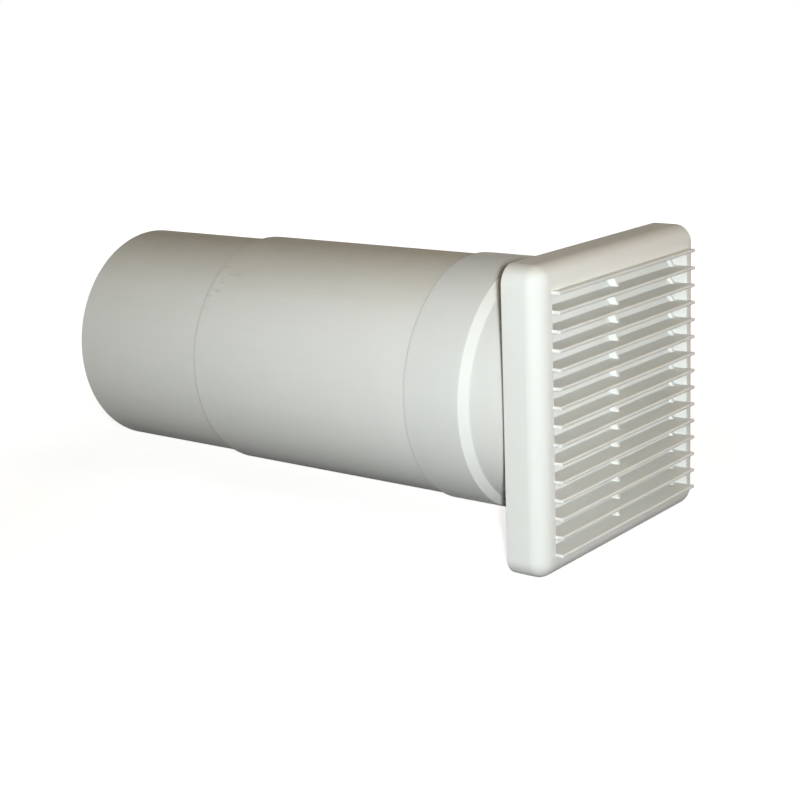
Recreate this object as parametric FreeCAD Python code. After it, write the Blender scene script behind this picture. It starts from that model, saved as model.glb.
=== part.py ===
import FreeCAD, Part
import math
import os

# Wall vent sleeve: a square louvred grille with a round socket behind it, an outer sleeve pushed
# into the socket, and an inner sleeve that telescopes in the outer one.
# Millimetres. The origin is on the sleeve axis in the plane of the wall, +Y runs into the wall,
# -Y is the weather side and +Z is up.

# Grille frame
FRAME_SIZE = 148.0
FRAME_DEPTH = 20.5
FRAME_CORNER_RADIUS = 9.5
FRAME_FRONT_RADIUS = 8.5
FRAME_WALL = 2.4
FRAME_BACK_EDGE = 0.4
SIDE_RIM = 11.0
TOP_RIM = 11.8
BOTTOM_RIM = 11.0

# Louvre slats: a beaded nose, a level shelf and a rear blade that leans back
SLAT_COUNT = 15
TOP_NOSE_DROP = 0.6
BOTTOM_NOSE_LIFT = 0.6
NOSE_PROUD = 4.5
NOSE_RADIUS = 0.9
SLAT_THICKNESS = 1.5
SHELF_DEPTH = 11.3
BLADE_RISE = 5.6
BLADE_ANGLE = 55.0
LOUVRE_WALL = 1.8
SLAT_TENON = 0.6

# Mullions behind the noses: one in the middle and one near each side, set further back
MULLION_THICKNESS = 1.6
MULLION_RAKE = 24.0
MIDDLE_MULLION_SETBACK = 7.2
SIDE_MULLION_SETBACK = 9.2
SIDE_MULLION_INSET = 4.4

# Back plate of the socket, let into the back of the frame
PLATE_THICKNESS = 2.0
PLATE_REBATE = 1.2
PLATE_CLEARANCE = 0.3

# Sleeves and socket, from the bore outwards
DUCT_BORE = 118.0
INNER_SLEEVE_WALL = 1.5
SLIDE_CLEARANCE = 0.3
OUTER_SLEEVE_WALL = 1.6
SOCKET_CLEARANCE = 0.2
COLLAR_WALL = 1.0
NECK_WALL = 1.3
NECK_ROOT = 1.0

# Lengths along the axis
NECK_LENGTH = 29.0
SHOULDER_LENGTH = 4.4
SHOULDER_WALL = 1.0
COLLAR_LENGTH = 32.5
SEAT_CLEARANCE = 0.3
OUTER_SLEEVE_LENGTH = 173.0
INNER_SLEEVE_LENGTH = 173.0
INNER_SLEEVE_SHOWING = 90.6
SLEEVE_EDGE = 0.4

# Radii that follow from the bore
BORE_RADIUS = DUCT_BORE / 2
INNER_SLEEVE_RADIUS = BORE_RADIUS + INNER_SLEEVE_WALL
OUTER_SLEEVE_BORE_RADIUS = INNER_SLEEVE_RADIUS + SLIDE_CLEARANCE
OUTER_SLEEVE_RADIUS = OUTER_SLEEVE_BORE_RADIUS + OUTER_SLEEVE_WALL
COLLAR_BORE_RADIUS = OUTER_SLEEVE_RADIUS + SOCKET_CLEARANCE
COLLAR_RADIUS = COLLAR_BORE_RADIUS + COLLAR_WALL
NECK_RADIUS = BORE_RADIUS + NECK_WALL

# Stations along the axis
SHOULDER_END = NECK_LENGTH + SHOULDER_LENGTH
COLLAR_END = SHOULDER_END + COLLAR_LENGTH
OUTER_SLEEVE_START = SHOULDER_END + SHOULDER_WALL + SEAT_CLEARANCE
OUTER_SLEEVE_END = OUTER_SLEEVE_START + OUTER_SLEEVE_LENGTH
INNER_SLEEVE_END = OUTER_SLEEVE_END + INNER_SLEEVE_SHOWING
INNER_SLEEVE_START = INNER_SLEEVE_END - INNER_SLEEVE_LENGTH

# Louvre opening and slat pattern
OPENING_WIDTH = FRAME_SIZE - 2 * SIDE_RIM
OPENING_TOP_Z = FRAME_SIZE / 2 - TOP_RIM
OPENING_BOTTOM_Z = BOTTOM_RIM - FRAME_SIZE / 2
TOP_NOSE_Z = OPENING_TOP_Z - TOP_NOSE_DROP
BOTTOM_NOSE_Z = OPENING_BOTTOM_Z + BOTTOM_NOSE_LIFT
SLAT_PITCH = (TOP_NOSE_Z - BOTTOM_NOSE_Z) / (SLAT_COUNT - 1)
NOSE_Y = -(FRAME_DEPTH + NOSE_PROUD)
BLADE_SLOPE = math.radians(BLADE_ANGLE)
BLADE_TIP_DEPTH = SHELF_DEPTH + (BLADE_RISE - SLAT_THICKNESS / 2) / math.tan(BLADE_SLOPE)
SLAT_DEPTH = BLADE_TIP_DEPTH + SLAT_THICKNESS * math.sin(BLADE_SLOPE)
LOUVRE_BACK_Y = NOSE_Y + SLAT_DEPTH


def slat_height(index):
    return TOP_NOSE_Z - index * SLAT_PITCH


def rounded_square_prism(size, radius, back_y, front_y):
    """Square prism with rounded corners about the sleeve axis, from back_y forward to front_y."""
    half = size / 2
    straight = half - radius
    bend = radius * math.sqrt(0.5)
    edges = []
    for turn in range(4):
        side = Part.LineSegment(
            FreeCAD.Vector(-straight, back_y, half), FreeCAD.Vector(straight, back_y, half)
        ).toShape()
        corner = Part.Arc(
            FreeCAD.Vector(straight, back_y, half),
            FreeCAD.Vector(straight + bend, back_y, straight + bend),
            FreeCAD.Vector(half, back_y, straight),
        ).toShape()
        for edge in (side, corner):
            edge.rotate(FreeCAD.Vector(0, 0, 0), FreeCAD.Vector(0, 1, 0), 90 * turn)
            edges.append(edge)
    face = Part.Face(Part.Wire(Part.__sortEdges__(edges)))
    return face.extrude(FreeCAD.Vector(0, front_y - back_y, 0))


def edges_at(solid, y):
    """Edges that run round an end face of a prism."""
    return [
        edge for edge in solid.Edges if all(abs(vertex.Point.y - y) < 1e-6 for vertex in edge.Vertexes)
    ]


def round_front(solid, front_y, radius):
    """Round the edge that runs round the front face of a prism."""
    return solid.makeFillet(radius, edges_at(solid, front_y))


def opening_block(margin_x, margin_z, back_y, front_y):
    """Block as large as the louvre opening and a margin round it, from back_y forward to front_y."""
    width = OPENING_WIDTH + 2 * margin_x
    height = OPENING_TOP_Z - OPENING_BOTTOM_Z + 2 * margin_z
    corner = FreeCAD.Vector(-width / 2, front_y, OPENING_BOTTOM_Z - margin_z)
    return Part.makeBox(width, back_y - front_y, height, corner)


def frame_shell():
    """Hollow frame, open at the back, with a rebate for the back plate and the louvre opening."""
    front_y = -FRAME_DEPTH
    inside_front_y = front_y + FRAME_WALL
    outside = round_front(
        rounded_square_prism(FRAME_SIZE, FRAME_CORNER_RADIUS, 0, front_y), front_y, FRAME_FRONT_RADIUS
    )
    outside = outside.makeChamfer(FRAME_BACK_EDGE, edges_at(outside, 0))
    inside = round_front(
        rounded_square_prism(
            FRAME_SIZE - 2 * FRAME_WALL, FRAME_CORNER_RADIUS - FRAME_WALL, 0, inside_front_y
        ),
        inside_front_y,
        FRAME_FRONT_RADIUS - FRAME_WALL,
    )
    lip = FRAME_WALL - PLATE_REBATE
    rebate = rounded_square_prism(
        FRAME_SIZE - 2 * lip, FRAME_CORNER_RADIUS - lip, 0, -(PLATE_THICKNESS + PLATE_CLEARANCE)
    )
    opening = opening_block(0, 0, 0, front_y)
    return outside.cut(inside).cut(rebate).cut(opening)


def louvre_surround():
    """Wall that runs back from the edge of the opening and carries the slat ends."""
    outer = opening_block(LOUVRE_WALL, LOUVRE_WALL, LOUVRE_BACK_Y, FRAME_WALL / 2 - FRAME_DEPTH)
    return outer.cut(opening_block(0, 0, LOUVRE_BACK_Y, -FRAME_DEPTH))


def slat(index):
    """One slat across the opening, with its ends let into the surround."""
    z = slat_height(index)
    half = SLAT_THICKNESS / 2
    length = OPENING_WIDTH + 2 * SLAT_TENON
    bead_depth = NOSE_RADIUS + math.sqrt(NOSE_RADIUS**2 - half**2)
    lean_back = SLAT_THICKNESS / math.sin(BLADE_SLOPE) - SLAT_THICKNESS / math.tan(BLADE_SLOPE)

    def point(depth, height):
        return FreeCAD.Vector(-length / 2, NOSE_Y + depth, z + height)

    bead_top = point(bead_depth, half)
    bead_bottom = point(bead_depth, -half)
    outline = [
        bead_top,
        point(SHELF_DEPTH, half),
        point(BLADE_TIP_DEPTH, BLADE_RISE),
        point(SLAT_DEPTH, BLADE_RISE - SLAT_THICKNESS * math.cos(BLADE_SLOPE)),
        point(SHELF_DEPTH + lean_back, -half),
        bead_bottom,
    ]
    edges = [Part.LineSegment(a, b).toShape() for a, b in zip(outline, outline[1:])]
    edges.append(Part.Arc(bead_bottom, point(0, 0), bead_top).toShape())
    solid = Part.Face(Part.Wire(edges)).extrude(FreeCAD.Vector(length, 0, 0))
    return solid.common(opening_block(SLAT_TENON, LOUVRE_WALL / 2, 0, NOSE_Y))


def mullion(x, setback):
    """Upright rib that ties the slats together, its front edge raked back in every gap."""
    lean = SLAT_PITCH * math.tan(math.radians(MULLION_RAKE))
    left = x - MULLION_THICKNESS / 2
    front = NOSE_Y + setback
    top_z = slat_height(0)
    bottom_z = slat_height(SLAT_COUNT - 1)
    points = [FreeCAD.Vector(left, LOUVRE_BACK_Y, top_z), FreeCAD.Vector(left, LOUVRE_BACK_Y, bottom_z)]
    for index in range(SLAT_COUNT - 1, 0, -1):
        points.append(FreeCAD.Vector(left, front, slat_height(index)))
        points.append(FreeCAD.Vector(left, front + lean, slat_height(index - 1)))
    points.append(points[0])
    return Part.Face(Part.makePolygon(points)).extrude(FreeCAD.Vector(MULLION_THICKNESS, 0, 0))


def louvre_grille():
    side = OPENING_WIDTH / 2 - SIDE_MULLION_INSET
    pieces = [louvre_surround()]
    pieces += [slat(index) for index in range(SLAT_COUNT)]
    pieces += [mullion(x, SIDE_MULLION_SETBACK) for x in (-side, side)]
    pieces.append(mullion(0.0, MIDDLE_MULLION_SETBACK))
    return frame_shell().fuse(pieces).removeSplitter()


def revolved(profile):
    """Turn a closed (radius, station) profile about the sleeve axis."""
    points = [FreeCAD.Vector(radius, station, 0) for radius, station in profile]
    face = Part.Face(Part.makePolygon(points + points[:1]))
    return face.revolve(FreeCAD.Vector(0, 0, 0), FreeCAD.Vector(0, 1, 0), 360)


def spigot_socket():
    """Back plate, neck, conical shoulder and collar, all one wall."""
    lip = FRAME_WALL - PLATE_REBATE
    plate = rounded_square_prism(
        FRAME_SIZE - 2 * (lip + PLATE_CLEARANCE),
        FRAME_CORNER_RADIUS - lip - PLATE_CLEARANCE,
        0,
        -PLATE_THICKNESS,
    )
    hole = Part.makeCylinder(
        BORE_RADIUS, PLATE_THICKNESS, FreeCAD.Vector(0, -PLATE_THICKNESS, 0), FreeCAD.Vector(0, 1, 0)
    )
    tube = revolved(
        [
            (BORE_RADIUS, -PLATE_THICKNESS),
            (NECK_RADIUS + NECK_ROOT, -PLATE_THICKNESS),
            (NECK_RADIUS + NECK_ROOT, 0),
            (NECK_RADIUS, NECK_ROOT),
            (NECK_RADIUS, NECK_LENGTH),
            (COLLAR_RADIUS, SHOULDER_END),
            (COLLAR_RADIUS, COLLAR_END - SLEEVE_EDGE),
            (COLLAR_RADIUS - SLEEVE_EDGE, COLLAR_END),
            (COLLAR_BORE_RADIUS, COLLAR_END),
            (COLLAR_BORE_RADIUS, SHOULDER_END + SHOULDER_WALL),
            (BORE_RADIUS, NECK_LENGTH + SHOULDER_WALL),
        ]
    )
    return plate.cut(hole).fuse(tube).removeSplitter()


def sleeve(bore_radius, radius, start, end):
    """Plain tube with its outer end edges eased."""
    return revolved(
        [
            (bore_radius, start),
            (radius - SLEEVE_EDGE, start),
            (radius, start + SLEEVE_EDGE),
            (radius, end - SLEEVE_EDGE),
            (radius - SLEEVE_EDGE, end),
            (bore_radius, end),
        ]
    )


def build():
    return {
        "louvre_grille": louvre_grille(),
        "spigot_socket": spigot_socket(),
        "outer_sleeve": sleeve(
            OUTER_SLEEVE_BORE_RADIUS, OUTER_SLEEVE_RADIUS, OUTER_SLEEVE_START, OUTER_SLEEVE_END
        ),
        "inner_sleeve": sleeve(BORE_RADIUS, INNER_SLEEVE_RADIUS, INNER_SLEEVE_START, INNER_SLEEVE_END),
    }


os.makedirs("parts", exist_ok=True)
for name, shape in build().items():
    shape.exportStep(f"parts/{name}.step")
    box_size = shape.BoundBox
    print(
        f"{name}: {len(shape.Solids)} solid, valid {shape.isValid()}, volume {shape.Volume:.0f} mm3, "
        f"{box_size.XLength:.1f} x {box_size.YLength:.1f} x {box_size.ZLength:.1f} mm"
    )
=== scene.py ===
import math

import bmesh
import bpy
from mathutils import Matrix, Vector


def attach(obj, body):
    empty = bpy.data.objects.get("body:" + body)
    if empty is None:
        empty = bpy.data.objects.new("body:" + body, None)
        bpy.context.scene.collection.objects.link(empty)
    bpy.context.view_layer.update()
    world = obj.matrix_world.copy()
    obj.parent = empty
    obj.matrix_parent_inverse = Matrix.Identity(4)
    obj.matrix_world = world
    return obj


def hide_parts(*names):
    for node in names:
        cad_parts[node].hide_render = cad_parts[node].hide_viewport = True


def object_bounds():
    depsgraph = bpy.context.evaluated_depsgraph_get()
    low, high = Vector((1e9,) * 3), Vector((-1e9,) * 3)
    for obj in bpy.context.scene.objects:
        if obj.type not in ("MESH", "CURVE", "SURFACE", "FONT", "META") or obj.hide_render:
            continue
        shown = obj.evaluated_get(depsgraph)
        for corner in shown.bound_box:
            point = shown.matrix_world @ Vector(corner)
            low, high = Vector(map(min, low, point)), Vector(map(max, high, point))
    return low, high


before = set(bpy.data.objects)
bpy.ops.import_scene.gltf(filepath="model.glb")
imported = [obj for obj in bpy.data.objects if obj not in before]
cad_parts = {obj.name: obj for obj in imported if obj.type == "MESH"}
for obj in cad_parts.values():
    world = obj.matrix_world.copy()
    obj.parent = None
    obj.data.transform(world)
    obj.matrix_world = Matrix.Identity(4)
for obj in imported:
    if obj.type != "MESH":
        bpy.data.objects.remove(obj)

cad_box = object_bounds()

MM = 0.001
TERMINAL = "wall_terminal"
TELESCOPE = "telescoping_end"

# Sizes of the object in millimetres. The origin is on the sleeve axis in the plane of the wall,
# +Y runs into the wall and +Z is up.
FRAME_SIZE = 148.0
FRAME_DEPTH = 20.5
FRAME_CORNER_RADIUS = 9.5
FRAME_FRONT_RADIUS = 8.5
FRAME_WALL = 2.4
FRAME_BACK_EDGE = 0.4
SIDE_RIM = 11.0
TOP_RIM = 11.8
BOTTOM_RIM = 11.0
OPENING_CORNER_RADIUS = 0.6
OPENING_EDGE = 0.35

SLAT_COUNT = 15
TOP_NOSE_DROP = 0.6
BOTTOM_NOSE_LIFT = 0.6
NOSE_PROUD = 4.5
NOSE_RADIUS = 0.9
SLAT_THICKNESS = 1.5
SHELF_DEPTH = 11.3
BLADE_RISE = 5.6
BLADE_ANGLE = 55.0
BLADE_HEEL_RADIUS = 1.6
BLADE_BEND_RADIUS = 0.8
BLADE_TIP_RADIUS = 0.3
LOUVRE_WALL = 1.8
SLAT_TENON = 0.6

MULLION_THICKNESS = 1.6
MULLION_RAKE = 24.0
MULLION_BACK_GAP = 0.1
MIDDLE_MULLION_SETBACK = 7.2
SIDE_MULLION_SETBACK = 9.2
SIDE_MULLION_INSET = 4.4

PLATE_THICKNESS = 2.0
PLATE_REBATE = 1.2
PLATE_CLEARANCE = 0.3
PLATE_EDGE = 0.3

BORE_RADIUS = 59.0
BORE_BEND_RADIUS = 0.5
NECK_RADIUS = 60.3
NECK_ROOT = 1.0
NECK_ROOT_RADIUS = 0.5
NECK_LENGTH = 29.0
NECK_BEND_RADIUS = 1.5
SHOULDER_END = 33.4
SHOULDER_WALL = 1.0
SHOULDER_BEND_RADIUS = 1.0
COLLAR_BORE_RADIUS = 62.6
COLLAR_BORE_EDGE = 0.3
COLLAR_RADIUS = 63.6
COLLAR_EDGE = 0.45
COLLAR_END = 65.9

OUTER_SLEEVE = {"bore": 60.8, "radius": 62.4, "start": 34.7, "end": 207.7}
INNER_SLEEVE = {"bore": 59.0, "radius": 60.5, "start": 125.3, "end": 298.3}
SLEEVE_EDGE = 0.4
SLEEVE_BORE_EDGE = 0.2

FRAME_HALF = FRAME_SIZE / 2
OPENING_HALF_WIDTH = FRAME_HALF - SIDE_RIM
OPENING_TOP_Z = FRAME_HALF - TOP_RIM
OPENING_BOTTOM_Z = BOTTOM_RIM - FRAME_HALF
TOP_NOSE_Z = OPENING_TOP_Z - TOP_NOSE_DROP
BOTTOM_NOSE_Z = OPENING_BOTTOM_Z + BOTTOM_NOSE_LIFT
SLAT_PITCH = (TOP_NOSE_Z - BOTTOM_NOSE_Z) / (SLAT_COUNT - 1)
SLAT_LENGTH = 2 * (OPENING_HALF_WIDTH + SLAT_TENON)
NOSE_Y = -(FRAME_DEPTH + NOSE_PROUD)
BLADE_SLOPE = math.radians(BLADE_ANGLE)
BLADE_TIP_DEPTH = SHELF_DEPTH + (BLADE_RISE - SLAT_THICKNESS / 2) / math.tan(BLADE_SLOPE)
SLAT_DEPTH = BLADE_TIP_DEPTH + SLAT_THICKNESS * math.sin(BLADE_SLOPE)
LOUVRE_BACK_Y = NOSE_Y + SLAT_DEPTH
SIDE_MULLION_X = OPENING_HALF_WIDTH - SIDE_MULLION_INSET
PLATE_LIP = FRAME_WALL - PLATE_REBATE

# Fineness of the meshes
CORNER_STEPS = 14
FRONT_STEPS = 18
EDGE_STEPS = 4
NOSE_STEPS = 16
ROUND_SEGMENTS = 240
EASING_STEP = math.radians(9)
CREASE_ANGLE = math.radians(34)
SEAL_DISTANCE = 1e-6

# Where painted shade lies on the tops and scuffs fade in and out, in millimetres: below the frame's top,
# up the sleeves, along the outer sleeve from its open end, and under its skin
FRAME_TOP_SHADE_DROP = (4.0, 0.5)
TUBE_TOP_SHADE_Z = (40.0, 61.0)
SCUFF_IN_Z = (28.0, 38.0)
SCUFF_OUT_Z = (49.0, 56.0)
SCUFF_IN_Y = (-22.7, -2.7)
SCUFF_OUT_Y = (-0.5, 0.1)
SCUFF_SKIN = (1.0, 0.5)

# Tones of the two plastics, of the shade painted on them and of the scuffs on the tube
MOULDING_DULL = (0.835, 0.845, 0.815)
MOULDING_BRIGHT = (0.855, 0.862, 0.835)
MOULDING_RUBBED = (0.89, 0.893, 0.87)
FRAME_TOP_SHADE = (0.68, 0.61, 0.47)
CORNER_SHADE = (0.78, 0.765, 0.715)
TUBE_DULL = (0.88, 0.884, 0.85)
TUBE_BRIGHT = (0.9, 0.904, 0.872)
TUBE_DRAWN_LINE = (0.86, 0.862, 0.825)
TUBE_TOP_SHADE = (0.66, 0.58, 0.42)
STEP_SHADE = (0.45, 0.44, 0.4)
SCUFF_MARK = (0.6, 0.57, 0.5)
SUBSURFACE_SPREAD = (1.0, 0.95, 0.85)

# Standpoint of the photograph, fitted to the outlines of the object
CAMERA_AZIMUTH = math.radians(-52.05)
CAMERA_ELEVATION = math.radians(14.30)
CAMERA_ROLL = math.radians(-2.249)
CAMERA_TARGET = Vector((-11.12, 108.64, -15.87)) * MM
CAMERA_DISTANCE = 893.7 * MM
CAMERA_LENS = 76.29
CAMERA_SENSOR = 36.0

# Studio, in metres and watts
LAMP_AIM = Vector((0.0, 0.11, 0.0))
FLASH_OFFSET = 0.028
FILL_COLOUR = (1.0, 0.8, 0.5, 1.0)
FILL_STRENGTH = 0.015
FLOOR_REACH = 6.0
FLOOR_DULL = (0.06, 0.06, 0.06, 1.0)
FLOOR_PALE = (0.65, 0.65, 0.64, 1.0)
FLOOR_GLOW = (0.76, 1.0)
FLOOR_GLOW_SPAN = (0.2, 0.45)

scene = bpy.context.scene
scene.view_settings.view_transform = "Standard"


def link(name, data):
    """New object in the scene."""
    obj = bpy.data.objects.new(name, data)
    scene.collection.objects.link(obj)
    return obj


def node_maker(tree):
    """Function that adds a node to a tree, with its wires, its settings and its socket values."""

    def node(kind, wires=None, settings=None, **values):
        made = tree.nodes.new(kind)
        for key, value in (settings or {}).items():
            setattr(made, key, value)
        for key, value in values.items():
            made.inputs[key.replace("_", " ")].default_value = value
        for key, source in (wires or {}).items():
            tree.links.new(source, made.inputs[key])
        return made

    return node


def quarter_turn(steps):
    """Angles of a quarter turn in equal steps."""
    return [math.pi / 2 * step / steps for step in range(steps + 1)]


def eased(corners):
    """Closed outline through (a, b, radius) corners, each one rounded to its radius."""
    outline = []
    for index, (a, b, radius) in enumerate(corners):
        corner = Vector((a, b))
        if radius == 0:
            outline.append(corner)
            continue
        before = (Vector(corners[index - 1][:2]) - corner).normalized()
        after = (Vector(corners[(index + 1) % len(corners)][:2]) - corner).normalized()
        half = math.acos(max(-1.0, min(1.0, before.dot(after)))) / 2
        centre = corner + (before + after).normalized() * (radius / math.sin(half))
        start = corner + before * (radius / math.tan(half)) - centre
        sweep = math.pi - 2 * half
        if before.x * after.y - before.y * after.x > 0:
            sweep = -sweep
        steps = max(2, math.ceil(abs(sweep) / EASING_STEP))
        for step in range(steps + 1):
            turn = Matrix.Rotation(sweep * step / steps, 2)
            outline.append(centre + turn @ start)
    return outline


def outward(mesh):
    """Turn every face of a closed mesh outwards."""
    work = bmesh.new()
    work.from_mesh(mesh)
    bmesh.ops.recalc_face_normals(work, faces=work.faces)
    work.to_mesh(mesh)
    work.free()


def closed_loft(name, rings):
    """Closed skin over rings with equally many points, the last ring joined to the first."""
    count = len(rings[0])
    points = [Vector(point) * MM for ring in rings for point in ring]
    faces = []
    for index in range(len(rings)):
        near = index * count
        far = (index + 1) % len(rings) * count
        for step in range(count):
            after = (step + 1) % count
            faces.append((near + step, near + after, far + after, far + step))
    mesh = bpy.data.meshes.new(name)
    mesh.from_pydata(points, [], faces)
    outward(mesh)
    return link(name, mesh)


def rounded_ring(half_width, bottom_z, top_z, radius, y):
    """Points round a rectangle with rounded corners, in the plane at y."""
    ring = []
    corners = (
        (half_width - radius, top_z - radius),
        (radius - half_width, top_z - radius),
        (radius - half_width, bottom_z + radius),
        (half_width - radius, bottom_z + radius),
    )
    for quarter, (x, z) in enumerate(corners):
        for step in range(CORNER_STEPS + 1):
            angle = (quarter + step / CORNER_STEPS) * math.pi / 2
            ring.append((x + radius * math.cos(angle), y, z + radius * math.sin(angle)))
    return ring


def frame_ring(inset, y):
    """Ring round the square frame, set in from its outside."""
    half = FRAME_HALF - inset
    return rounded_ring(half, -half, half, FRAME_CORNER_RADIUS - inset, y)


def opening_ring(margin, y):
    """Ring round the opening of the frame, set out from its walls."""
    return rounded_ring(
        OPENING_HALF_WIDTH + margin,
        OPENING_BOTTOM_Z - margin,
        OPENING_TOP_Z + margin,
        OPENING_CORNER_RADIUS + margin,
        y,
    )


def grille_frame():
    """Frame skirt with its rounded front, the opening's walls and the rebate at the back."""
    front = -FRAME_DEPTH
    inside_front = FRAME_WALL - FRAME_DEPTH
    inside_radius = FRAME_FRONT_RADIUS - FRAME_WALL
    rebate_y = -(PLATE_THICKNESS + PLATE_CLEARANCE)
    bend = quarter_turn(FRONT_STEPS)
    easing = quarter_turn(EDGE_STEPS)

    rings = [frame_ring(PLATE_LIP, 0.0)]
    for a in easing:
        inset = FRAME_BACK_EDGE * (1 - math.sin(a))
        rings.append(frame_ring(inset, FRAME_BACK_EDGE * (math.cos(a) - 1)))
    for a in bend:
        inset = FRAME_FRONT_RADIUS * (1 - math.cos(a))
        rings.append(frame_ring(inset, front + FRAME_FRONT_RADIUS * (1 - math.sin(a))))

    for a in easing:
        margin = OPENING_EDGE * (1 - math.sin(a))
        rings.append(opening_ring(margin, front + OPENING_EDGE * (1 - math.cos(a))))
    for a in easing:
        margin = OPENING_EDGE * (1 - math.cos(a))
        rings.append(opening_ring(margin, LOUVRE_BACK_Y - OPENING_EDGE * (1 - math.sin(a))))
    for a in easing:
        margin = LOUVRE_WALL - OPENING_EDGE * (1 - math.sin(a))
        rings.append(opening_ring(margin, LOUVRE_BACK_Y - OPENING_EDGE * (1 - math.cos(a))))
    rings.append(opening_ring(LOUVRE_WALL, inside_front))

    for a in reversed(bend):
        inset = FRAME_WALL + inside_radius * (1 - math.cos(a))
        rings.append(frame_ring(inset, inside_front + inside_radius * (1 - math.sin(a))))
    rings += [frame_ring(FRAME_WALL, rebate_y), frame_ring(PLATE_LIP, rebate_y)]
    return closed_loft("grille_frame", rings)


def slat_section(rise):
    """Section of a slat about its nose: a beaded nose, a level shelf and a blade up to a rise."""
    half = SLAT_THICKNESS / 2
    bead_depth = NOSE_RADIUS + math.sqrt(NOSE_RADIUS**2 - half**2)
    bead_angle = math.asin(half / NOSE_RADIUS)
    lean_back = SLAT_THICKNESS / math.sin(BLADE_SLOPE) - SLAT_THICKNESS / math.tan(BLADE_SLOPE)
    heel = SHELF_DEPTH + lean_back
    full = rise >= BLADE_RISE
    tip_radius = BLADE_TIP_RADIUS if full else 0
    tip_low = BLADE_RISE - SLAT_THICKNESS * math.cos(BLADE_SLOPE) if full else rise
    tip_depth = SHELF_DEPTH + (rise - half) / math.tan(BLADE_SLOPE)
    back_depth = heel + (tip_low + half) / math.tan(BLADE_SLOPE)
    shelf = eased(
        [
            (bead_depth, -half, 0),
            (heel, -half, BLADE_HEEL_RADIUS),
            (back_depth, tip_low, tip_radius),
            (tip_depth, rise, tip_radius),
            (SHELF_DEPTH, half, BLADE_BEND_RADIUS),
            (bead_depth, half, 0),
        ]
    )
    nose = []
    for step in range(1, NOSE_STEPS):
        angle = bead_angle + (2 * math.pi - 2 * bead_angle) * step / NOSE_STEPS
        nose.append(Vector((NOSE_RADIUS * (1 + math.cos(angle)), NOSE_RADIUS * math.sin(angle))))
    return shelf + nose


def mullion_section(setback):
    """Outline of a mullion: a straight back and a front edge raked back in every gap."""
    lean = SLAT_PITCH * math.tan(math.radians(MULLION_RAKE))
    back = SLAT_DEPTH - MULLION_BACK_GAP
    drop = (SLAT_COUNT - 1) * SLAT_PITCH
    outline = [Vector((back, -drop)), Vector((back, 0.0))]
    for index in range(SLAT_COUNT - 1):
        outline.append(Vector((setback + lean, -index * SLAT_PITCH)))
        outline.append(Vector((setback, -(index + 1) * SLAT_PITCH)))
    return outline


def bar_row_tree():
    """Node tree: extrude the section along X and repeat the bar in a straight row."""
    tree = bpy.data.node_groups.new("bar_row", "GeometryNodeTree")
    for name, kind in (
        ("Section", "NodeSocketGeometry"),
        ("Bar Length", "NodeSocketFloat"),
        ("Bar Count", "NodeSocketInt"),
        ("First Bar", "NodeSocketVector"),
        ("Bar Step", "NodeSocketVector"),
        ("Finish", "NodeSocketMaterial"),
    ):
        tree.interface.new_socket(name, in_out="INPUT", socket_type=kind)
    tree.interface.new_socket("Bars", in_out="OUTPUT", socket_type="NodeSocketGeometry")
    node = node_maker(tree)
    given = node("NodeGroupInput").outputs
    along = node("ShaderNodeCombineXYZ", {"X": given["Bar Length"]}).outputs["Vector"]
    far_end = node(
        "GeometryNodeExtrudeMesh", {"Mesh": given["Section"], "Offset": along}, Individual=False
    )
    near_end = node("GeometryNodeFlipFaces", {"Mesh": given["Section"]})
    both = node("GeometryNodeJoinGeometry", {"Geometry": far_end.outputs["Mesh"]})
    tree.links.new(near_end.outputs["Mesh"], both.inputs["Geometry"])
    bar = node(
        "GeometryNodeMergeByDistance",
        {"Geometry": both.outputs["Geometry"]},
        Distance=SEAL_DISTANCE,
    )
    row = node(
        "GeometryNodeMeshLine",
        {
            "Count": given["Bar Count"],
            "Start Location": given["First Bar"],
            "Offset": given["Bar Step"],
        },
    )
    repeat = node(
        "GeometryNodeInstanceOnPoints",
        {"Points": row.outputs["Mesh"], "Instance": bar.outputs["Geometry"]},
    )
    real = node("GeometryNodeRealizeInstances", {"Geometry": repeat.outputs["Instances"]})
    dressed = node(
        "GeometryNodeSetMaterial",
        {"Geometry": real.outputs["Geometry"], "Material": given["Finish"]},
    )
    node("NodeGroupOutput", {"Bars": dressed.outputs["Geometry"]})
    return tree


def evaluated(obj):
    """Plain mesh of an object with its modifiers worked out; the modifiers are then removed."""
    bpy.context.view_layer.update()
    worked_out = obj.evaluated_get(bpy.context.evaluated_depsgraph_get())
    mesh = bpy.data.meshes.new_from_object(worked_out)
    obj.modifiers.clear()
    old = obj.data
    obj.data = mesh
    bpy.data.meshes.remove(old)
    mesh.name = obj.name
    return mesh


def bar_row(tree, name, section, length, finish, first, count=1, step=(0.0, 0.0, 0.0)):
    """Row of equal bars from a (depth, height) section behind the nose line."""
    points = [Vector((-length / 2, depth, height)) * MM for depth, height in section]
    mesh = bpy.data.meshes.new(name)
    mesh.from_pydata(points, [], [tuple(range(len(points)))])
    obj = link(name, mesh)
    sizes = {
        "Bar Length": length * MM,
        "Bar Count": count,
        "First Bar": Vector(first) * MM,
        "Bar Step": Vector(step) * MM,
        "Finish": finish,
    }
    rule = obj.modifiers.new("bar_row", "NODES")
    rule.node_group = tree
    for socket in tree.interface.items_tree:
        if socket.in_out == "INPUT" and socket.name in sizes:
            rule[socket.identifier] = sizes[socket.name]
    outward(evaluated(obj))
    return obj


def shaded(obj, finish):
    """Smooth skin with crisp edges and flat faces left flat."""
    mesh = obj.data
    mesh.materials.clear()
    mesh.materials.append(finish)
    for polygon in mesh.polygons:
        polygon.material_index = 0
        polygon.use_smooth = True
    mesh.set_sharp_from_angle(angle=CREASE_ANGLE)
    weigh = obj.modifiers.new("flat_faces", "WEIGHTED_NORMAL")
    weigh.keep_sharp = True
    evaluated(obj)
    return obj


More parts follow.
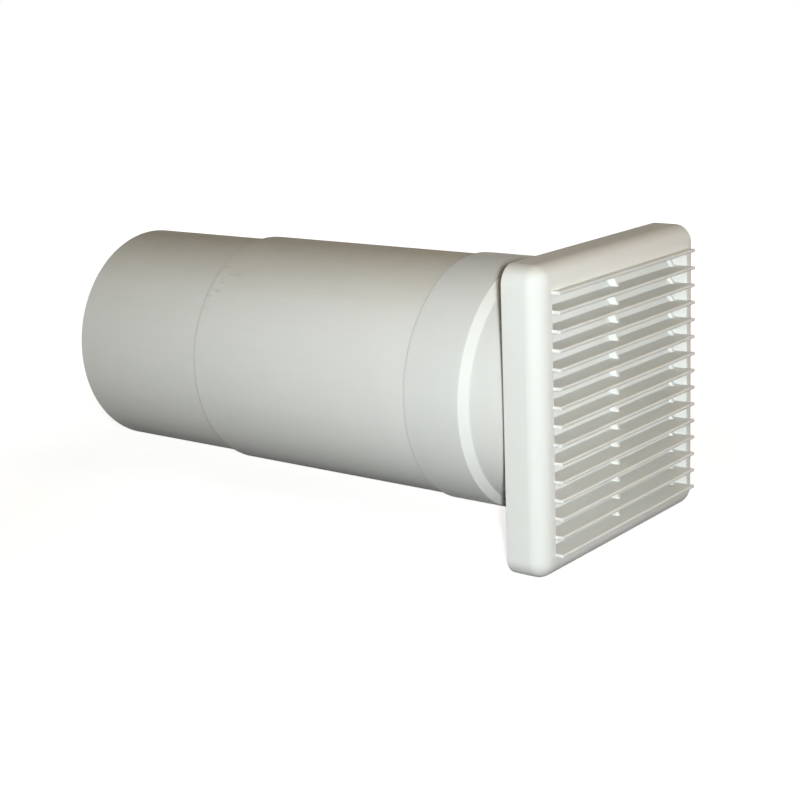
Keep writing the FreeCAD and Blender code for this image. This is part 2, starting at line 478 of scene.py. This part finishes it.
def louvre_grille(finish):
    """Frame, slats and mullions, united into one moulding."""
    tree = bar_row_tree()
    top_rise = OPENING_TOP_Z + LOUVRE_WALL / 2 - TOP_NOSE_Z
    top_nose = (0.0, NOSE_Y, TOP_NOSE_Z)
    bars = [
        bar_row(tree, "top_slat", slat_section(top_rise), SLAT_LENGTH, finish, top_nose),
        bar_row(
            tree,
            "slats",
            slat_section(BLADE_RISE),
            SLAT_LENGTH,
            finish,
            first=(0.0, NOSE_Y, TOP_NOSE_Z - SLAT_PITCH),
            count=SLAT_COUNT - 1,
            step=(0.0, 0.0, -SLAT_PITCH),
        ),
        bar_row(
            tree,
            "side_mullions",
            mullion_section(SIDE_MULLION_SETBACK),
            MULLION_THICKNESS,
            finish,
            first=(-SIDE_MULLION_X, NOSE_Y, TOP_NOSE_Z),
            count=2,
            step=(2 * SIDE_MULLION_X, 0.0, 0.0),
        ),
        bar_row(
            tree,
            "middle_mullion",
            mullion_section(MIDDLE_MULLION_SETBACK),
            MULLION_THICKNESS,
            finish,
            first=top_nose,
        ),
    ]
    grille = grille_frame()
    for bar in bars:
        unite = grille.modifiers.new(bar.name, "BOOLEAN")
        unite.operation = "UNION"
        unite.solver = "EXACT"
        unite.object = bar
    evaluated(grille)
    for bar in bars:
        bpy.data.objects.remove(bar)
    grille.name = "louvre_grille_moulding"
    return shaded(grille, finish)


def round_turns():
    """Directions round the sleeve axis, as (x, z)."""
    for step in range(ROUND_SEGMENTS):
        angle = 2 * math.pi * step / ROUND_SEGMENTS
        yield Vector((math.cos(angle), math.sin(angle)))


def round_ring(radius, station):
    """Points round the sleeve axis at a radius and a station along it."""
    return [(radius * way.x, station, radius * way.y) for way in round_turns()]


def plate_ring(half, radius, y):
    """Points round the square back plate at the same turns about the axis as a round ring."""
    centre = Vector((half - radius, half - radius))
    ring = []
    for way in round_turns():
        ahead = Vector((abs(way.x), abs(way.y)))
        reach = half / max(ahead)
        if min(ahead) * reach > half - radius:
            middle = ahead.dot(centre)
            reach = middle + math.sqrt(middle**2 - centre.length_squared + radius**2)
        ring.append((way.x * reach, y, way.y * reach))
    return ring


def spigot_socket(finish):
    """Square back plate, neck, conical shoulder and collar."""
    half = FRAME_HALF - PLATE_LIP - PLATE_CLEARANCE
    corner = FRAME_CORNER_RADIUS - PLATE_LIP - PLATE_CLEARANCE
    tube = eased(
        [
            (NECK_RADIUS + NECK_ROOT, 0.0, 0),
            (NECK_RADIUS, NECK_ROOT, NECK_ROOT_RADIUS),
            (NECK_RADIUS, NECK_LENGTH, NECK_BEND_RADIUS),
            (COLLAR_RADIUS, SHOULDER_END, SHOULDER_BEND_RADIUS),
            (COLLAR_RADIUS, COLLAR_END, COLLAR_EDGE),
            (COLLAR_BORE_RADIUS, COLLAR_END, COLLAR_BORE_EDGE),
            (COLLAR_BORE_RADIUS, SHOULDER_END + SHOULDER_WALL, COLLAR_BORE_EDGE),
            (BORE_RADIUS, NECK_LENGTH + SHOULDER_WALL, BORE_BEND_RADIUS),
            (BORE_RADIUS, -PLATE_THICKNESS, 0),
        ]
    )
    rings = [round_ring(radius, station) for radius, station in tube]
    rings += [
        plate_ring(half - PLATE_EDGE, corner - PLATE_EDGE, -PLATE_THICKNESS),
        plate_ring(half, corner, PLATE_EDGE - PLATE_THICKNESS),
        plate_ring(half, corner, -PLATE_EDGE),
        plate_ring(half - PLATE_EDGE, corner - PLATE_EDGE, 0.0),
    ]
    return shaded(closed_loft("spigot_socket_moulding", rings), finish)


def sleeve(name, bore, radius, start, end, finish):
    """Plain tube with its cut edges eased."""
    profile = eased(
        [
            (bore, start, SLEEVE_BORE_EDGE),
            (radius, start, SLEEVE_EDGE),
            (radius, end, SLEEVE_EDGE),
            (bore, end, SLEEVE_BORE_EDGE),
        ]
    )
    return shaded(closed_loft(name, [round_ring(*point) for point in profile]), finish)


def plastic(name, clarity, depth, sheen):
    """Plastic that lets light in a little; returns the material, its shader and a node maker."""
    material = bpy.data.materials.new(name)
    material.use_nodes = True
    shader = material.node_tree.nodes["Principled BSDF"]
    shader.inputs["Subsurface Weight"].default_value = clarity
    shader.inputs["Subsurface Radius"].default_value = SUBSURFACE_SPREAD
    shader.inputs["Subsurface Scale"].default_value = depth
    shader.inputs["Specular IOR Level"].default_value = sheen
    return material, shader, node_maker(material.node_tree)


def wired(shader, **sources):
    """Wire colours, values and normals to the shader's sockets of those names."""
    for key, source in sources.items():
        shader.id_data.links.new(source, shader.inputs[key.replace("_", " ")])


def grained(node, place, scale, detail, stretch=(1.0, 1.0, 1.0)):
    """Noise on the object's own coordinates, drawn out along its axes."""
    laid = node("ShaderNodeMapping", {"Vector": place}, Scale=stretch).outputs["Vector"]
    noise = node("ShaderNodeTexNoise", {"Vector": laid}, Scale=scale, Detail=detail)
    return noise.outputs["Fac"]


def ranged(node, value, span, result):
    """Value carried from one span to another and held at its ends."""
    made = node("ShaderNodeMapRange", {"Value": value})
    for key, number in zip(("From Min", "From Max", "To Min", "To Max"), (*span, *result)):
        made.inputs[key].default_value = number
    return made.outputs["Result"]


def product(node, first, *others):
    """Product of several values."""
    for other in others:
        times = node("ShaderNodeMath", {0: first, 1: other}, {"operation": "MULTIPLY"})
        first = times.outputs["Value"]
    return first


def tinted(node, amount, base, tint):
    """Colour between base and tint by an amount; either may be a colour or a wire."""
    made = node("ShaderNodeMix", {"Factor": amount}, {"data_type": "RGBA"})
    for key, colour in (("A", base), ("B", tint)):
        socket = [s for s in made.inputs if s.name == key and s.type == "RGBA"][0]
        if isinstance(colour, tuple):
            socket.default_value = (*colour, 1.0)
        else:
            made.id_data.links.new(colour, socket)
    return [s for s in made.outputs if s.type == "RGBA"][0]


def openness(node, distance, **settings):
    """How open a place is to its surroundings within a distance: 1 in the open, 0 shut in."""
    made = node(
        "ShaderNodeAmbientOcclusion", settings={"samples": 6, **settings}, Distance=distance
    )
    return made.outputs["AO"]


def white_moulding():
    """White moulded plastic: a soft sheen, faint flow marks, painted shade on the frame's top and in the
    corners, rubbed edges.
    """
    material, shader, node = plastic("moulded_plastic", clarity=0.5, depth=1.2 * MM, sheen=0.07)
    place = node("ShaderNodeTexCoord").outputs["Object"]
    height = node("ShaderNodeSeparateXYZ", {"Vector": place}).outputs["Z"]

    flow = ranged(node, grained(node, place, 24.0, 3.0), (0.35, 0.65), (0.0, 1.0))
    colour = tinted(node, flow, MOULDING_DULL, MOULDING_BRIGHT)
    # Painted shade: the frame is darkened and warmed towards its top face
    top_shade_z = [(FRAME_HALF - drop) * MM for drop in FRAME_TOP_SHADE_DROP]
    painted_top_shade = ranged(node, height, top_shade_z, (0.0, 0.35))
    colour = tinted(node, painted_top_shade, colour, FRAME_TOP_SHADE)
    # Painted shade: corners and recesses are darkened by ambient occlusion
    painted_corner_shade = ranged(node, openness(node, 3.0 * MM), (0.1, 0.7), (0.35, 0.0))
    colour = tinted(node, painted_corner_shade, colour, CORNER_SHADE)
    edges = openness(node, 0.6 * MM, inside=True, only_local=True)
    colour = tinted(node, ranged(node, edges, (0.2, 0.8), (0.5, 0.0)), colour, MOULDING_RUBBED)

    rough = ranged(node, grained(node, place, 90.0, 2.0), (0.3, 0.7), (0.5, 0.6))
    skin = node(
        "ShaderNodeBump",
        {"Height": grained(node, place, 1400.0, 2.0)},
        Strength=0.12,
        Distance=0.04 * MM,
    )
    sink = node(
        "ShaderNodeBump",
        {"Height": grained(node, place, 55.0, 1.0), "Normal": skin.outputs["Normal"]},
        Strength=0.12,
        Distance=0.4 * MM,
    )
    wired(shader, Base_Color=colour, Roughness=rough, Normal=sink.outputs["Normal"])
    return material


def off_white_tube():
    """Extruded tube: satin, drawn lines along the axis, a few scuffs by the cut end of the sleeve."""
    material, shader, node = plastic("extruded_plastic", clarity=0.3, depth=0.8 * MM, sheen=0.03)
    place = node("ShaderNodeTexCoord").outputs["Object"]
    sides = node("ShaderNodeSeparateXYZ", {"Vector": place}).outputs

    drawn = grained(node, place, 420.0, 4.0, stretch=(1.0, 0.012, 1.0))
    cloud = ranged(node, grained(node, place, 16.0, 3.0), (0.35, 0.65), (0.0, 1.0))
    colour = tinted(node, cloud, TUBE_DULL, TUBE_BRIGHT)
    lined = ranged(node, drawn, (0.45, 0.7), (0.0, 0.35))
    colour = tinted(node, lined, colour, TUBE_DRAWN_LINE)

    # Painted shade: the upper side of the sleeves is darkened and warmed, in uneven patches
    painted_top_shade = ranged(node, sides["Z"], [z * MM for z in TUBE_TOP_SHADE_Z], (0.0, 0.45))
    uneven = ranged(node, grained(node, place, 70.0, 3.0), (0.3, 0.7), (0.75, 1.0))
    colour = tinted(node, product(node, painted_top_shade, uneven), colour, TUBE_TOP_SHADE)
    # Painted shade: darkening by ambient occlusion where the sleeves step down
    painted_step_shade = ranged(node, openness(node, 5.0 * MM), (0.5, 0.95), (0.36, 0.0))
    colour = tinted(node, painted_step_shade, colour, STEP_SHADE)

    marks = grained(node, place, 420.0, 2.0, stretch=(1.0, 0.35, 1.0))
    scuffs = ranged(node, marks, (0.56, 0.7), (0.0, 0.5))
    for side, origin, fade_in, fade_out in (
        ("Y", OUTER_SLEEVE["end"], SCUFF_IN_Y, SCUFF_OUT_Y),
        ("Z", 0.0, SCUFF_IN_Z, SCUFF_OUT_Z),
    ):
        inside = ranged(node, sides[side], [(origin + at) * MM for at in fade_in], (0.0, 1.0))
        beyond = ranged(node, sides[side], [(origin + at) * MM for at in fade_out], (1.0, 0.0))
        scuffs = product(node, scuffs, inside, beyond)
    flat = node("ShaderNodeMapping", {"Vector": place}, Scale=(1.0, 0.0, 1.0)).outputs["Vector"]
    off_axis = node("ShaderNodeVectorMath", {0: flat}, {"operation": "LENGTH"}).outputs["Value"]
    skin = [(OUTER_SLEEVE["radius"] - depth) * MM for depth in SCUFF_SKIN]
    scuffs = product(node, scuffs, ranged(node, off_axis, skin, (0.0, 1.0)))
    colour = tinted(node, scuffs, colour, SCUFF_MARK)

    rough = ranged(node, grained(node, place, 60.0, 2.0), (0.3, 0.7), (0.6, 0.72))
    lines = node("ShaderNodeBump", {"Height": drawn}, Strength=0.15, Distance=0.03 * MM)
    wired(shader, Base_Color=colour, Roughness=rough, Normal=lines.outputs["Normal"])
    return material


def camera():
    """Camera at the photograph's standpoint; returns the place of its lens and its right side."""
    back = Vector(
        (
            math.sin(CAMERA_AZIMUTH) * math.cos(CAMERA_ELEVATION),
            -math.cos(CAMERA_AZIMUTH) * math.cos(CAMERA_ELEVATION),
            math.sin(CAMERA_ELEVATION),
        )
    )
    level = Vector((math.cos(CAMERA_AZIMUTH), math.sin(CAMERA_AZIMUTH), 0.0))
    upright = back.cross(level)
    right = level * math.cos(CAMERA_ROLL) + upright * math.sin(CAMERA_ROLL)
    up = upright * math.cos(CAMERA_ROLL) - level * math.sin(CAMERA_ROLL)
    lens = CAMERA_TARGET + back * CAMERA_DISTANCE
    data = bpy.data.cameras.new("camera")
    data.sensor_width = CAMERA_SENSOR
    data.lens = CAMERA_LENS
    data.clip_start, data.clip_end = 0.01, 20.0
    obj = link("camera", data)
    turn = Matrix((right, up, back)).transposed()
    obj.matrix_world = Matrix.Translation(lens) @ turn.to_4x4()
    scene.camera = obj
    return lens, right


def lamp(name, size, power, colour, place):
    """Round lamp aimed at the middle of the object."""
    data = bpy.data.lights.new(name, "AREA")
    data.shape = "DISK"
    data.size = size
    data.energy = power
    data.color = colour
    obj = link(name, data)
    obj.location = place
    obj.rotation_mode = "QUATERNION"
    obj.rotation_quaternion = (LAMP_AIM - Vector(place)).to_track_quat("-Z", "Y")


def seen_white(node, unseen, white):
    """Shader that is white to the camera, gloss and glass, and the other one to all other light."""
    path = node("ShaderNodeLightPath").outputs
    shown = path["Is Camera Ray"]
    for ray in ("Is Glossy Ray", "Is Transmission Ray"):
        either = node("ShaderNodeMath", {0: shown, 1: path[ray]}, {"operation": "MAXIMUM"})
        shown = either.outputs["Value"]
    return node("ShaderNodeMixShader", {"Fac": shown, 1: unseen, 2: white}).outputs["Shader"]


def lights(lens, right):
    """A small lamp beside the lens, soft ones on every side and above, and a little even fill."""
    lamp("flash", 0.03, 6.5, (0.95, 0.995, 1.0), lens + right * FLASH_OFFSET)
    lamp("right_softbox", 1.0, 7.5, (1.0, 0.8, 0.73), (1.5, -0.9, 0.3))
    lamp("left_softbox", 1.0, 3.5, (1.0, 0.86, 0.62), (-1.0, 1.4, 0.15))
    lamp("rear_softbox", 0.6, 14.0, (1.0, 0.98, 0.95), (0.5, 1.9, 0.1))
    lamp("side_softbox", 0.6, 13.0, (0.92, 0.98, 1.0), (1.9, 0.25, 0.1))
    lamp("top_softbox", 1.0, 2.2, (1.0, 0.6, 0.1), (0.1, -1.1, 1.3))
    world = bpy.data.worlds.new("studio")
    world.use_nodes = True
    world.node_tree.nodes.clear()
    node = node_maker(world.node_tree)
    fill = node("ShaderNodeBackground", Color=FILL_COLOUR, Strength=FILL_STRENGTH)
    white = node("ShaderNodeBackground", Color=(1.0, 1.0, 1.0, 1.0))
    surface = seen_white(node, fill.outputs["Background"], white.outputs["Background"])
    node("ShaderNodeOutputWorld", {"Surface": surface})
    scene.world = world


def floor():
    """Pale floor that touches the lowest edge of the frame and keeps its shadow."""
    corners = [(-1, -1), (1, -1), (1, 1), (-1, 1)]
    mesh = bpy.data.meshes.new("floor")
    mesh.from_pydata([(x * FLOOR_REACH, y * FLOOR_REACH, 0.0) for x, y in corners], [], [range(4)])
    obj = link("floor", mesh)
    obj.location = (0.0, (cad_box[0].y + cad_box[1].y) / 2, cad_box[0].z)
    material = bpy.data.materials.new("pale_floor")
    material.use_nodes = True
    material.node_tree.nodes.clear()
    node = node_maker(material.node_tree)
    dull = node("ShaderNodeBsdfDiffuse", Color=FLOOR_DULL)
    pale = node("ShaderNodeBsdfDiffuse", Color=FLOOR_PALE)
    place = node("ShaderNodeTexCoord").outputs["Object"]
    away = node("ShaderNodeVectorMath", {0: place}, {"operation": "LENGTH"}).outputs["Value"]
    glow = node("ShaderNodeEmission", {"Strength": ranged(node, away, FLOOR_GLOW_SPAN, FLOOR_GLOW)})
    white = node("ShaderNodeAddShader", {0: pale.outputs["BSDF"], 1: glow.outputs["Emission"]})
    surface = seen_white(node, dull.outputs["BSDF"], white.outputs["Shader"])
    node("ShaderNodeOutputMaterial", {"Surface": surface})
    mesh.materials.append(material)


lights(*camera())
floor()

white = white_moulding()
tube = off_white_tube()
for piece, node, body, slot in (
    (louvre_grille(white), "louvre_grille", TERMINAL, "white_moulding"),
    (spigot_socket(white), "spigot_socket", TERMINAL, "white_moulding"),
    (sleeve("outer_sleeve_tube", finish=tube, **OUTER_SLEEVE), "outer_sleeve", TERMINAL, "off_white_tube"),
    (sleeve("inner_sleeve_tube", finish=tube, **INNER_SLEEVE), "inner_sleeve", TELESCOPE, "off_white_tube"),
):
    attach(piece, body)
    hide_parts(node)

bpy.context.view_layer.update()
